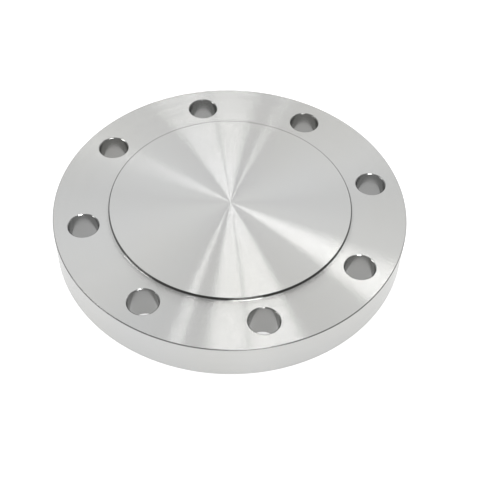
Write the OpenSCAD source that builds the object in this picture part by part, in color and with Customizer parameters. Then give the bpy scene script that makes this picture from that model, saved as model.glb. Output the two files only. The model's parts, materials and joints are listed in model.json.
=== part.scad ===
// Raised-face blind flange: a solid round plate that bolts over the end of a pipe.
// It is forged and turned in one piece, so the raised face is part of the plate.
// The origin is the centre of the flat back face, and +Z points out of the raised
// face. The bolt holes straddle the X and Y axes.

/* [Plate] */
// Outside diameter
outside_d = 228.6; // [226:0.1:245]
// Thickness of the plate below its raised face
plate_t = 25.3; // [16:0.1:40]
// Width and depth of the chamfers on the rim's two edges
rim_chamfer = 0.5; // [0.2:0.1:2]

/* [Raised face] */
// Diameter of the raised sealing face
raised_face_d = 157.2; // [120:0.1:160]
// Height of the raised face above the plate
raised_face_h = 2; // [2:0.1:7]
// Width and depth of the break on the raised face's edge
raised_face_break = 0.3; // [0.1:0.1:0.6]
// Radius that the turning tool's nose leaves at the foot of the raised face
step_fillet_r = 1; // [0.2:0.1:1.2]
// Diameter of the mark that the facing tool leaves at the centre
centre_mark_d = 3; // [1:0.5:8]
// Depth of the centre mark
centre_mark_depth = 0.15; // [0.05:0.05:0.5]

/* [Bolt holes] */
// Number of bolt holes
bolt_count = 8; // [4:1:16]
// Diameter of the circle through the bolt holes' centres
bolt_circle_d = 190.5; // [186:0.1:196]
// Diameter of each bolt hole
bolt_hole_d = 19.05; // [14:0.05:22]
// Width and depth of the chamfer on both mouths of each bolt hole
hole_chamfer = 0.6; // [0.1:0.1:1.2]

/* [Smoothness] */
// Sides on the plate's circles
plate_sides = 240; // [60:12:360]
// Sides on each bolt hole's circles
hole_sides = 72; // [24:12:120]

/* [Hidden] */
steel = [0.77, 0.77, 0.75];
outside_r = outside_d / 2;
raised_face_r = raised_face_d / 2;
total_t = plate_t + raised_face_h;
bolt_hole_r = bolt_hole_d / 2;
bolt_step = 360 / bolt_count;
// How far each hole's cutter runs past the two faces that it pierces
cutter_overrun = 1;
// Straight pieces along the fillet's quarter circle
fillet_steps = 6;

// Hollow quarter circle from the plate's top up to the side of the raised face
step_fillet = [
    for (i = [0:fillet_steps])
        let (angle = 270 - 90 * i / fillet_steps)
            [
                raised_face_r + step_fillet_r * (1 + cos(angle)),
                plate_t + step_fillet_r * (1 + sin(angle))
            ]
];

// Plate and raised face, turned as one body: half of its section, spun about Z
module turned_plate() {
    rotate_extrude($fn = plate_sides)
        polygon([
            [0, 0],
            [outside_r - rim_chamfer, 0],
            [outside_r, rim_chamfer],
            [outside_r, plate_t - rim_chamfer],
            [outside_r - rim_chamfer, plate_t],
            each step_fillet,
            [raised_face_r, total_t - raised_face_break],
            [raised_face_r - raised_face_break, total_t],
            [centre_mark_d / 2, total_t],
            [0, total_t - centre_mark_depth],
        ]);
}

// Chamfer at a hole's mouth: a cone that widens upwards through the face at z = 0
module mouth_cone() {
    translate([0, 0, -hole_chamfer])
        cylinder(
            h = hole_chamfer + cutter_overrun,
            r1 = bolt_hole_r,
            r2 = bolt_hole_r + hole_chamfer + cutter_overrun,
            $fn = hole_sides
        );
}

// One bolt hole through the plate, chamfered at both mouths
module bolt_hole() {
    translate([0, 0, -cutter_overrun])
        cylinder(h = plate_t + 2 * cutter_overrun, r = bolt_hole_r, $fn = hole_sides);
    translate([0, 0, plate_t]) mouth_cone();
    mirror([0, 0, 1]) mouth_cone();
}

// The whole flange
module blind_flange() {
    color(steel)
        difference() {
            turned_plate();
            for (i = [0:bolt_count - 1])
                rotate([0, 0, (i + 0.5) * bolt_step])
                    translate([bolt_circle_d / 2, 0, 0])
                        bolt_hole();
        }
}

blind_flange();
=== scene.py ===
# A raised-face blind flange, turned from stainless steel, lying on a white table in soft studio light.
import json
import math

import bmesh
import bpy
from mathutils import Matrix, Vector


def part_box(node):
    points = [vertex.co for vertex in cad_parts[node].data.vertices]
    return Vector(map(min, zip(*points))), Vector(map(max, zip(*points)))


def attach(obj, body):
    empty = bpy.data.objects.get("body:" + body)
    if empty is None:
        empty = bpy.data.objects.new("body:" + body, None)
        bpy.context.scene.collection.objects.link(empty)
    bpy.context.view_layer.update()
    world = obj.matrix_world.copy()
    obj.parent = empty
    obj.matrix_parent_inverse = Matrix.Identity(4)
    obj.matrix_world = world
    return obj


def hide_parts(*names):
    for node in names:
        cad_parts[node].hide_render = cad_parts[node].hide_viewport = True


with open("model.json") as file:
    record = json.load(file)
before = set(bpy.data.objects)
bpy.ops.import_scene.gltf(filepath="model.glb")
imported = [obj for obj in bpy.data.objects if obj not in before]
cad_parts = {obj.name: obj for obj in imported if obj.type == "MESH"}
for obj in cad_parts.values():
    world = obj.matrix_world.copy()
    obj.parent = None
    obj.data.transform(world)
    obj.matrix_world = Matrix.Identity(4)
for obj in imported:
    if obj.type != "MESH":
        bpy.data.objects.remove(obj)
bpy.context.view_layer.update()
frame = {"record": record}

# ---- Sizes, in metres. The frame gives the outside and the bolt holes; the rest are the CAD model's. ----
MM = 0.001
NODE = "blind_flange"
_, node_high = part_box(NODE)
bolt_circle = next(m for m in frame["record"]["mounts"] if m["name"] == "bolt_circle")["dims"]

OUTSIDE_R = node_high.x
TOTAL_T = node_high.z
RAISED_FACE_H = 2.0 * MM
RAISED_FACE_R = 78.6 * MM
PLATE_T = TOTAL_T - RAISED_FACE_H
BOLT_COUNT = bolt_circle["count"]
BOLT_CIRCLE_R = bolt_circle["pcd_mm"] / 2 * MM
BOLT_HOLE_R = bolt_circle["hole_r_mm"] * MM

RIM_CHAMFER = 0.5 * MM
HOLE_CHAMFER = 0.6 * MM
FACE_BREAK = 0.3 * MM       # width of the break on the raised face's edge
STEP_FILLET = 1.0 * MM      # left by the tool's nose at the foot of the raised face
CENTRE_MARK_R = 1.5 * MM
CENTRE_MARK_DEPTH = 0.15 * MM
# These four are the mesh's own.
EDGE_ROUND = 0.15 * MM      # how far the corners of the chamfers are eased
BREAK_ROUND = 0.1 * MM      # and those of the raised face's break
SHOULDER = 3 * EDGE_ROUND   # from a chamfer to the first ring on the flat or wall beside it
FOOT = 1.5 * STEP_FILLET    # from the raised face's side to the first ring on the plate

# ---- How finely the mesh is cut ----
SECTOR_STEPS = 48           # round the plate, for each bolt hole
SPOKE_STEPS = 12            # across the ring of bolt holes
PLATE_STEPS = SECTOR_STEPS * BOLT_COUNT
HOLE_STEPS = 2 * (SECTOR_STEPS + SPOKE_STEPS)
CORNER_STEPS = 6            # along each eased corner
FACE_RINGS = 8              # across a flat disc
WALL_RINGS = 4              # up a straight wall
FOOT_BANDS = 5              # at the foot of the raised face, finished with the plate
WEB_RINGS = (0.12, 0.45)    # from a hole's mouth, 0, to the edge of its sector, 1

# Material slots of the flange's mesh
FACE, PLATE, STEP, RIM, BORE, EDGE, BACK = range(7)


# ---- Mesh ----
def eased(outline, cuts):
    """The outline with its corners rounded. cuts says how far from each corner its curve starts."""
    points = [outline[0]]
    for before, corner, after, cut in zip(outline, outline[1:], outline[2:], cuts):
        start = corner + (before - corner).normalized() * cut
        end = corner + (after - corner).normalized() * cut
        for i in range(CORNER_STEPS + 1):
            t = i / CORNER_STEPS
            points.append(start * (1 - t) ** 2 + corner * 2 * t * (1 - t) + end * t**2)
    return points + [outline[-1]]


def ring(mesh, radius, z, centre=(0, 0), steps=PLATE_STEPS, start=0.0, turn=1):
    """A circle of vertices about a vertical axis through centre."""
    angles = [start + turn * math.tau * i / steps for i in range(steps)]
    return [
        mesh.verts.new((centre[0] + radius * math.cos(a), centre[1] + radius * math.sin(a), z))
        for a in angles
    ]


def bridge(mesh, first, second, slot):
    """A band of four-sided faces between two closed rows of vertices."""
    for i in range(len(first)):
        j = (i + 1) % len(first)
        mesh.faces.new((first[i], first[j], second[j], second[i])).material_index = slot


def lathe(mesh, outline, slots):
    """Spins an outline of (radius, z) points about the axis. slots names the material of each band."""
    rows = [ring(mesh, *p) for p in outline]
    for row, following, slot in zip(rows, rows[1:], slots):
        bridge(mesh, row, following, slot)
    return rows[0], rows[-1]


def close_centre(mesh, row, height, slot):
    """Closes the innermost ring of a disc with triangles that meet on the axis."""
    centre = mesh.verts.new((0, 0, height))
    for i in range(len(row)):
        mesh.faces.new((row[i], row[(i + 1) % len(row)], centre)).material_index = slot


def spokes(mesh, inner_r, outer_r, z):
    """The vertices along each radial line between two bolt holes, without their two ends."""
    rows = []
    for k in range(BOLT_COUNT):
        angle = math.tau * k / BOLT_COUNT
        radii = [inner_r + (outer_r - inner_r) * i / SPOKE_STEPS for i in range(1, SPOKE_STEPS)]
        rows.append([mesh.verts.new((r * math.cos(angle), r * math.sin(angle), z)) for r in radii])
    return rows


def hole_centre(k):
    """x and y of bolt hole k."""
    angle = math.tau * (k + 0.5) / BOLT_COUNT
    return BOLT_CIRCLE_R * math.cos(angle), BOLT_CIRCLE_R * math.sin(angle)


def hole_ring(mesh, k, radius, z):
    """A circle round bolt hole k whose vertices pair off with the edge of its sector."""
    outward = math.tau * (k + 0.5) / BOLT_COUNT
    start = outward + math.pi + math.pi * SECTOR_STEPS / HOLE_STEPS
    return ring(mesh, radius, z, hole_centre(k), HOLE_STEPS, start, turn=-1)


def drilled_web(mesh, inner, outer, z, slot, mouths):
    """The flat ring between two circles of vertices, left open at the holes' mouths."""
    inner_r, outer_r = (Vector(row[0].co[:2]).length for row in (inner, outer))
    lines = spokes(mesh, inner_r, outer_r, z)
    for k in range(BOLT_COUNT):
        arc = [i % PLATE_STEPS for i in range(k * SECTOR_STEPS, (k + 1) * SECTOR_STEPS + 1)]
        edge = [inner[i] for i in arc] + lines[(k + 1) % BOLT_COUNT]
        edge += [outer[i] for i in reversed(arc)] + lines[k][::-1]
        previous = mouths[k]
        for share in WEB_RINGS:
            between = [mesh.verts.new(m.co.lerp(e.co, share)) for m, e in zip(mouths[k], edge)]
            bridge(mesh, previous, between, slot)
            previous = between
        bridge(mesh, previous, edge, slot)


def chamfered_wall(radius, chamfer, outward, slot):
    """Outline of a wall right through the plate, with an eased chamfer at each end, and its bands' slots.

    outward is 1 where the plate lies outside the wall, and -1 where it lies inside.
    """
    wide = radius + outward * chamfer
    upper = eased(
        [
            Vector((wide + outward * SHOULDER, PLATE_T)),
            Vector((wide, PLATE_T)),
            Vector((radius, PLATE_T - chamfer)),
            Vector((radius, PLATE_T - chamfer - SHOULDER)),
        ],
        [EDGE_ROUND] * 2,
    )
    lower = [Vector((p.x, PLATE_T - p.y)) for p in reversed(upper)]
    middle = [upper[-1].lerp(lower[0], i / WALL_RINGS) for i in range(1, WALL_RINGS)]
    # The upper lip's finish runs one band further down the wall than the lower lip's runs up it.
    lip = [EDGE] * (len(upper) - 2)
    slots = [PLATE] + lip + [slot] * (WALL_RINGS + 1) + lip[1:] + [BACK]
    return upper + middle + lower, slots


def bore(mesh, k):
    """One bolt hole. Returns the vertices of its top mouth and its bottom one."""
    outline, slots = chamfered_wall(BOLT_HOLE_R, HOLE_CHAMFER, 1, BORE)
    rows = [hole_ring(mesh, k, *p) for p in outline]
    for row, following, slot in zip(rows, rows[1:], slots):
        bridge(mesh, row, following, slot)
    return rows[0], rows[-1]


def flat_disc(outer_r, inner_r, z):
    """Evenly spaced (radius, z) points across a flat disc, from inner_r to just short of outer_r."""
    return [Vector((inner_r + (outer_r - inner_r) * i / FACE_RINGS, z)) for i in range(FACE_RINGS)]


def raised_face(mesh):
    """The sealing face, its edge and the step down to the plate. Returns the ring at the step's foot."""
    step = eased(
        [
            Vector((RAISED_FACE_R - 2 * FACE_BREAK, TOTAL_T)),
            Vector((RAISED_FACE_R - FACE_BREAK, TOTAL_T)),
            Vector((RAISED_FACE_R, TOTAL_T - FACE_BREAK)),
            Vector((RAISED_FACE_R, PLATE_T)),
            Vector((RAISED_FACE_R + FOOT, PLATE_T)),
        ],
        [BREAK_ROUND, BREAK_ROUND, STEP_FILLET],
    )
    face = flat_disc(step[0].x, CENTRE_MARK_R, TOTAL_T)
    outline = face + step
    wall_bands = len(outline) - 1 - len(face) - FOOT_BANDS
    slots = [FACE] * len(face) + [STEP] * wall_bands + [PLATE] * FOOT_BANDS
    first, last = lathe(mesh, outline, slots)
    close_centre(mesh, first, TOTAL_T - CENTRE_MARK_DEPTH, FACE)
    return last


def rim(mesh):
    """The outer wall. Returns its top and bottom rings."""
    return lathe(mesh, *chamfered_wall(OUTSIDE_R, RIM_CHAMFER, -1, RIM))


def weigh_normals(data):
    """Weighs normals by area, so that large flat faces stay flat and only the corners curve."""
    sums = [Vector() for _ in data.vertices]
    for face in data.polygons:
        for v in face.vertices:
            sums[v] += face.normal * face.area
    data.normals_split_custom_set_from_vertices([s.normalized() for s in sums])


def build_flange(materials):
    """The whole flange as one closed mesh, with a material slot for each finish."""
    mesh = bmesh.new()
    foot = raised_face(mesh)
    top, bottom = rim(mesh)
    mouths = [bore(mesh, k) for k in range(BOLT_COUNT)]
    drilled_web(mesh, foot, top, PLATE_T, PLATE, [m[0] for m in mouths])
    back = flat_disc(RAISED_FACE_R, CENTRE_MARK_R, 0) + [Vector((RAISED_FACE_R, 0))]
    first, last = lathe(mesh, back, [BACK] * len(back))
    close_centre(mesh, first, 0, BACK)
    drilled_web(mesh, last, bottom, 0, BACK, [m[1] for m in mouths])
    bmesh.ops.recalc_face_normals(mesh, faces=mesh.faces)
    for face in mesh.faces:
        face.smooth = True
    data = bpy.data.meshes.new("flange_steel")
    mesh.to_mesh(data)
    mesh.free()
    weigh_normals(data)
    for material in materials:
        data.materials.append(material)
    piece = bpy.data.objects.new("flange_steel", data)
    bpy.context.scene.collection.objects.link(piece)
    return piece


# ---- Materials ----
BLACK, WHITE = (0, 0, 0, 1), (1, 1, 1, 1)


def ramp(tree, value, start, end, first, last):
    """Runs from first to last while value runs from start to end."""
    made = tree.nodes.new("ShaderNodeMapRange")
    tree.links.new(value, made.inputs["Value"])
    for key, number in (("From Min", start), ("From Max", end), ("To Min", first), ("To Max", last)):
        made.inputs[key].default_value = number
    return made.outputs["Result"]


# Indices of the colour sockets on a mix node, which share their names with other sockets
MIX_A, MIX_B, MIX_RESULT = 6, 7, 2

# How many of each there are to a metre
GROOVES_PER_METRE = 9000
WAVES_PER_METRE = 260
FINE_LINES_PER_METRE = 2200
BANDS_PER_METRE = 160
MARKS_PER_METRE = 900
BURRS_PER_METRE = 700
TINTS_PER_METRE = 9

NOISE_RANGE = (0.3, 0.7)    # where most of a noise texture's values lie


class Nodes:
    """Short calls that add nodes to one material."""

    def __init__(self, name):
        self.material = bpy.data.materials.new(name)
        self.material.use_nodes = True
        self.tree = self.material.node_tree
        self.shader = self.tree.nodes["Principled BSDF"]

    def node(self, kind, **settings):
        made = self.tree.nodes.new(kind)
        for key, value in settings.items():
            setattr(made, key, value)
        return made

    def plug(self, value, socket):
        """Links an output, or sets a plain number."""
        if isinstance(value, bpy.types.NodeSocket):
            self.tree.links.new(value, socket)
        else:
            socket.default_value = value

    def math(self, operation, a, b=0.0):
        made = self.node("ShaderNodeMath", operation=operation)
        self.plug(a, made.inputs[0])
        self.plug(b, made.inputs[1])
        return made.outputs[0]

    def place(self):
        """Object coordinates, split into x, y and z."""
        made = self.node("ShaderNodeSeparateXYZ")
        self.plug(self.node("ShaderNodeTexCoord").outputs["Object"], made.inputs[0])
        return made.outputs

    def radius(self):
        """Distance from the flange's axis."""
        x, y, _ = self.place()
        square = self.math("ADD", self.math("MULTIPLY", x, x), self.math("MULTIPLY", y, y))
        return self.math("SQRT", square)

    def lines(self, along, per_metre, detail=2.0):
        """Marks that vary only with one distance, such as the rings that a lathe tool leaves."""
        made = self.node("ShaderNodeTexNoise", noise_dimensions="1D")
        self.plug(along, made.inputs["W"])
        made.inputs["Scale"].default_value = per_metre
        made.inputs["Detail"].default_value = detail
        return made.outputs["Fac"]

    def cloud(self, per_metre):
        """Soft patches."""
        made = self.node("ShaderNodeTexNoise")
        self.plug(self.node("ShaderNodeTexCoord").outputs["Object"], made.inputs["Vector"])
        made.inputs["Scale"].default_value = per_metre
        return made.outputs["Fac"]

    def spread(self, value, low, high):
        """Maps noise, which keeps near the middle of 0 to 1, onto low to high."""
        return ramp(self.tree, value, *NOISE_RANGE, low, high)

    def mix(self, share, first, second):
        """A colour between first and second."""
        made = self.node("ShaderNodeMix", data_type="RGBA")
        self.plug(share, made.inputs[0])
        made.inputs[MIX_A].default_value = (*first, 1)
        made.inputs[MIX_B].default_value = (*second, 1)
        return made.outputs[MIX_RESULT]

    def vector_math(self, operation, a, b=None):
        made = self.node("ShaderNodeVectorMath", operation=operation)
        self.plug(a, made.inputs[0])
        if b is not None:
            self.plug(b, made.inputs["Scale" if operation == "SCALE" else 1])
        return made.outputs[0]

    def across_face(self):
        """Distance and direction that cross the marks on a face turned about the flange's axis."""
        x, y, _ = self.place()
        outward = self.node("ShaderNodeCombineXYZ")
        self.plug(x, outward.inputs[0])
        self.plug(y, outward.inputs[1])
        return self.radius(), self.vector_math("NORMALIZE", outward.outputs[0])

    def across_wall(self):
        """Distance and direction that cross the marks on a wall round any upright axis."""
        upward = self.node("ShaderNodeCombineXYZ")
        upward.inputs[2].default_value = 1
        return self.place()[2], upward.outputs[0]

    def grooves(self, distance, across, per_metre, slope, waviness):
        """The normal of fine grooves, whose sides slope by up to slope, on broader waves."""
        saw = self.math("FRACT", self.math("MULTIPLY", distance, per_metre))
        wave = self.spread(self.lines(distance, WAVES_PER_METRE), -waviness - slope, waviness - slope)
        tilt = self.math("ADD", self.math("MULTIPLY", saw, 2 * slope), wave)
        lean = self.vector_math("SCALE", across, tilt)
        flat = self.node("ShaderNodeNewGeometry").outputs["Normal"]
        return self.vector_math("NORMALIZE", self.vector_math("ADD", flat, lean))

    def bump(self, height, depth, normal=None):
        """Raises the surface by height times depth, over the normal given or the mesh's own."""
        made = self.node("ShaderNodeBump")
        if normal is not None:
            self.plug(normal, made.inputs["Normal"])
        made.inputs["Distance"].default_value = depth
        self.plug(height, made.inputs["Height"])
        self.plug(made.outputs["Normal"], self.shader.inputs["Normal"])


# Two near-neutral tints of clean stainless steel, which drift into each other
STEEL_COOL = (0.635, 0.640, 0.640)
STEEL_WARM = (0.640, 0.638, 0.618)

QUARTER_TURN = 0.25         # lays the long axis of the gloss across the marks


def machined_steel(
    name, across_marks, rough, dark=1.0, anisotropy=1.0, slope=0.0, waviness=0.0, mark_depth=1e-6, burr=0.0
):
    """Steel with tool marks. across_marks gives the distance and direction that cross them.

    rough is the range of its roughness, and dark scales its tints: below 1 it is painted shade, a
    darker copy of the same steel. anisotropy stretches its gloss for marks that run round the
    flange's axis. slope and waviness shape its grooves, and a slope of 0 leaves them out.
    mark_depth and burr are heights in metres.
    """
    n = Nodes(name)
    distance, across = across_marks(n)
    fine = n.lines(distance, FINE_LINES_PER_METRE)
    bands = n.lines(distance, BANDS_PER_METRE)
    # Where dark is below 1, the tints are painted shade.
    tints = [tuple(c * dark for c in tint) for tint in (STEEL_COOL, STEEL_WARM)]
    n.plug(n.mix(n.spread(n.cloud(TINTS_PER_METRE), 0, 1), *tints), n.shader.inputs["Base Color"])
    mean = n.math("MULTIPLY", n.math("ADD", fine, bands), 0.5)
    n.plug(n.spread(mean, *rough), n.shader.inputs["Roughness"])
    n.shader.inputs["Metallic"].default_value = 1.0
    n.shader.inputs["Anisotropic"].default_value = anisotropy
    n.shader.inputs["Anisotropic Rotation"].default_value = QUARTER_TURN
    tangent = n.node("ShaderNodeTangent", direction_type="RADIAL", axis="Z")
    n.plug(tangent.outputs[0], n.shader.inputs["Tangent"])
    normal = n.grooves(distance, across, GROOVES_PER_METRE, slope, waviness) if slope else None
    marks = n.lines(distance, MARKS_PER_METRE, detail=3.0)
    if burr:
        marks = n.math("ADD", n.math("MULTIPLY", n.cloud(BURRS_PER_METRE), burr / mark_depth), marks)
    n.bump(marks, mark_depth, normal)
    return n.material


face, wall = Nodes.across_face, Nodes.across_wall
materials = {
    FACE: machined_steel("sealing_face", face, (0.145, 0.155), slope=0.42, waviness=0.01),
    PLATE: machined_steel("turned_face", face, (0.15, 0.17), slope=0.42, waviness=0.02),
    # Painted shade: the step's steel is darkened to a quarter, standing in for the shade in the corner at
    # the foot of the raised face.
    STEP: machined_steel("step_corner_painted_shade", wall, (0.08, 0.11), dark=0.25, anisotropy=0.5, burr=40e-6),
    # Painted shade: the rim is a darker copy of the same steel, toned down to how light falls on it.
    RIM: machined_steel("turned_rim_painted_shade", wall, (0.2, 0.26), dark=0.82, mark_depth=2e-6),
    # Painted shade: the bores' steel is darkened, standing in for the shade inside the holes.
    BORE: machined_steel("drilled_bore_painted_shade", wall, (0.16, 0.26), dark=0.6, anisotropy=0.0, mark_depth=4e-6),
    # Painted shade: the chamfers' steel is darkened, for the dark lines along the edges.
    EDGE: machined_steel("edge_cut_painted_shade", wall, (0.16, 0.22), dark=0.7, anisotropy=0.0, burr=60e-6),
    BACK: machined_steel("turned_back", face, (0.15, 0.17), slope=0.42, waviness=0.02),
}

flange = build_flange([materials[slot] for slot in sorted(materials)])
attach(flange, "root")
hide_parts(NODE)


# ---- Camera: where it stands from the middle of the plate's top, and what it points at ----
CAMERA_AZIMUTH = math.radians(9.8)
CAMERA_ELEVATION = math.radians(46.8)
CAMERA_DISTANCE = 0.61
CAMERA_AIM = (0.019, -0.036)      # x and y, on the plate's top
CAMERA_ROLL = math.radians(2.5)
CAMERA_LENS = 67.5

plate_middle = Vector((0, 0, PLATE_T))


def direction(azimuth, elevation):
    """Azimuth 0 is towards -Y and grows towards +X."""
    level = math.cos(elevation)
    return Vector((math.sin(azimuth) * level, -math.cos(azimuth) * level, math.sin(elevation)))


def add_camera():
    """The scene's camera, level but for its roll."""
    data = bpy.data.cameras.new("camera")
    data.lens = CAMERA_LENS
    camera = bpy.data.objects.new("camera", data)
    camera.location = plate_middle + direction(CAMERA_AZIMUTH, CAMERA_ELEVATION) * CAMERA_DISTANCE
    line = Vector((*CAMERA_AIM, PLATE_T)) - camera.location
    level = line.to_track_quat("-Z", "Y").to_matrix()
    camera.matrix_world = Matrix.Translation(camera.location) @ (
        level @ Matrix.Rotation(CAMERA_ROLL, 3, "Z")
    ).to_4x4()
    bpy.context.scene.collection.objects.link(camera)
    bpy.context.scene.camera = camera


# ---- Light: bearings are degrees to the right of straight behind the flange, as the camera sees it ----
CEILING = 1.5                       # height of the row of panels
ROW_TURN = math.radians(7)          # the row isn't quite square to the camera

# Where the room's brightness changes: along the way from front to back, and going up
FRONT_TO_BACK = (-0.2, 0.4)
LOW_TO_HIGH = (0.3, 0.6)


def area_light(name, place, rotation, width, height, radiance):
    """A rectangular light whose face is as bright as radiance, placed from the middle of the plate's top."""
    data = bpy.data.lights.new(name, "AREA")
    data.shape = "RECTANGLE"
    data.size, data.size_y = width, height
    data.energy = radiance * math.pi * width * height
    light = bpy.data.objects.new(name, data)
    light.location = plate_middle + place
    light.rotation_euler = rotation
    bpy.context.scene.collection.objects.link(light)


def softbox(name, bearing, elevation, distance, width, height, radiance):
    """A light that faces the flange."""
    towards = direction(CAMERA_AZIMUTH + math.pi - math.radians(bearing), math.radians(elevation))
    facing = towards.to_track_quat("Z", "Y").to_euler()
    area_light(name, towards * distance, facing, width, height, radiance)


def ceiling_panel(name, across, behind, width, depth, radiance):
    """A light that faces straight down. across is to the right of the flange, and behind is beyond it."""
    row = Matrix.Rotation(CAMERA_AZIMUTH + ROW_TURN, 3, "Z")
    place = row @ Vector((across, behind, CEILING))
    area_light(name, place, row.to_euler(), width, depth, radiance)


def add_world(far, near, floor):
    """A room as bright as far at the back and near at the front. Low down, floor is the share left."""
    world = bpy.data.worlds.new("studio")
    world.use_nodes = True
    tree = world.node_tree
    background = tree.nodes["Background"]
    background.inputs["Color"].default_value = WHITE
    place = tree.nodes.new("ShaderNodeTexCoord").outputs["Generated"]
    along = tree.nodes.new("ShaderNodeVectorMath")
    along.operation = "DOT_PRODUCT"
    along.inputs[1].default_value = -direction(CAMERA_AZIMUTH, 0)
    tree.links.new(place, along.inputs[0])
    up = tree.nodes.new("ShaderNodeSeparateXYZ")
    tree.links.new(place, up.inputs[0])
    level = tree.nodes.new("ShaderNodeMath")
    level.operation = "MULTIPLY"
    tree.links.new(ramp(tree, along.outputs["Value"], *FRONT_TO_BACK, near, far), level.inputs[0])
    tree.links.new(ramp(tree, up.outputs["Z"], *LOW_TO_HIGH, floor, 1), level.inputs[1])
    tree.links.new(level.outputs[0], background.inputs["Strength"])
    bpy.context.scene.world = world


def add_stage_piece(name, mesh):
    """An object that isn't part of the flange."""
    data = bpy.data.meshes.new(name)
    mesh.to_mesh(data)
    mesh.free()
    piece = bpy.data.objects.new(name, data)
    bpy.context.scene.collection.objects.link(piece)
    return piece


STAGE_R = 3.0
TABLE_STEPS = 96
TABLE_GAP = 0.02 * MM               # keeps the table just clear of the flange
TABLE_GREY = (0.4, 0.4, 0.4, 1)
TABLE_ROUGHNESS = 0.7
# Under the flange the glow is turned down, a painted shadow beneath it; the next line gives where that
# shadow ends.
TABLE_GLOW_AND_PAINTED_SHADOW = (0.75, 0.97)           # under the flange, and round it
PAINTED_SHADOW_EDGE = (0.98 * OUTSIDE_R, 1.015 * OUTSIDE_R)
BACKDROP_GLOW = 0.95


def add_table():
    """A round pale table top that glows like a light table. Its glow is turned down under the flange, as a
    painted shadow.
    """
    mesh = bmesh.new()
    mesh.faces.new(ring(mesh, STAGE_R, -TABLE_GAP, steps=TABLE_STEPS))
    n = Nodes("table_white")
    n.shader.inputs["Base Color"].default_value = TABLE_GREY
    n.shader.inputs["Roughness"].default_value = TABLE_ROUGHNESS
    n.shader.inputs["Emission Color"].default_value = WHITE
    glow = ramp(n.tree, n.radius(), *PAINTED_SHADOW_EDGE, *TABLE_GLOW_AND_PAINTED_SHADOW)
    n.plug(glow, n.shader.inputs["Emission Strength"])
    add_stage_piece("table", mesh).data.materials.append(n.material)


def add_backdrop():
    """A pale dome that only the camera sees, so that it adds no light."""
    mesh = bmesh.new()
    bmesh.ops.create_icosphere(mesh, subdivisions=4, radius=STAGE_R)
    n = Nodes("backdrop_white")
    n.shader.inputs["Base Color"].default_value = BLACK
    n.shader.inputs["Emission Color"].default_value = WHITE
    n.shader.inputs["Emission Strength"].default_value = BACKDROP_GLOW
    dome = add_stage_piece("backdrop", mesh)
    dome.data.materials.append(n.material)
    for ray in ("diffuse", "glossy", "transmission", "volume_scatter", "shadow"):
        setattr(dome, "visible_" + ray, False)


add_camera()
# Turned steel shows each light as two opposite fans. Seen from above, they run along the direction
# halfway between camera and light.
add_world(far=0.93, near=0.35, floor=0.55)
# A narrow ray to the lower left, and its opposite
ceiling_panel("panel_narrow", across=-0.26, behind=0.20, width=0.08, depth=0.10, radiance=8.0)
# The broad fan towards the camera, and its opposite. The gap between these two is its thin dark line.
ceiling_panel("panel_middle", across=0.02, behind=0.20, width=0.20, depth=0.30, radiance=3.8)
ceiling_panel("panel_right", across=0.28, behind=0.20, width=0.28, depth=0.30, radiance=3.8)
# A weak, wide fill over the turned faces
softbox("low_behind", bearing=0, elevation=20, distance=1.2, width=1.4, height=0.7, radiance=0.3)
# The brightest fan, to the lower right, and its opposite
softbox("key_right", bearing=55, elevation=51, distance=1.3, width=0.28, height=0.25, radiance=3.0)
# White glints on the holes' far lips, the step and the rim's front edge, and a fill on the rim's wall
softbox("beside_camera", bearing=165, elevation=42, distance=0.9, width=0.3, height=0.15, radiance=12.0)
# Second, smaller glints on the lips, and a lighter left side to the step and the rim
softbox("window_left", bearing=-100, elevation=30, distance=0.9, width=0.4, height=0.1, radiance=6.0)
add_table()
add_backdrop()
bpy.context.scene.view_settings.view_transform = "Standard"
